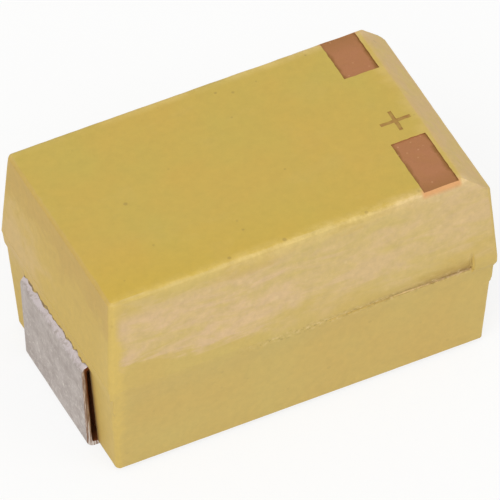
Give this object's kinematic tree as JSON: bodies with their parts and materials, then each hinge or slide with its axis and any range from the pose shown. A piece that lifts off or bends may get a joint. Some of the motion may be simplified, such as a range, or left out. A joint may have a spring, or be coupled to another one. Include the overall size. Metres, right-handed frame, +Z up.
{
  "type": "tantalum chip capacitor",
  "caption": "Moulded surface-mount tantalum capacitor with folded end terminals, a bevelled positive end, and its coated sintered block, riser wire and lead strips inside.",
  "frame": {"origin": "middle of the footprint on the seating plane, under the two folded feet", "axes": "+X from the cathode end to the anode (positive, bevelled) end along the case's length, +Z up out of the board, +Y across the case's width"},
  "size_m": [0.0074, 0.0044, 0.0041],
  "materials": {
    "moulded_epoxy": "golden mineral-filled moulded epoxy, satin from the mould, with two brown laser-marked bars and a plus",
    "tinned_strip": "matte electroplated tin on rolled nickel-iron strip, coppery at the cut edges",
    "sintered_tantalum": "fine porous sintered metal powder, dark blue-grey",
    "tantalum_wire": "drawn wire, grey with light draw lines",
    "ptfe": "white, slightly waxy punched washer",
    "manganese_dioxide": "dull brown-black crystalline crust",
    "graphite_film": "dipped graphite film, dark grey with a faint sheen",
    "silver_paint": "dipped silver flake paint, matte pale grey",
    "silver_epoxy": "cured silver-filled epoxy paste"
  },
  "bodies": {
    "root": {"case": "moulded_epoxy", "cathode_terminal": "tinned_strip", "anode_terminal": "tinned_strip", "tantalum_anode": "sintered_tantalum", "anode_wire": "tantalum_wire", "wire_washer": "ptfe", "manganese_dioxide_layer": "manganese_dioxide", "carbon_layer": "graphite_film", "silver_layer": "silver_paint", "silver_adhesive": "silver_epoxy"}
  },
  "joints": []
}
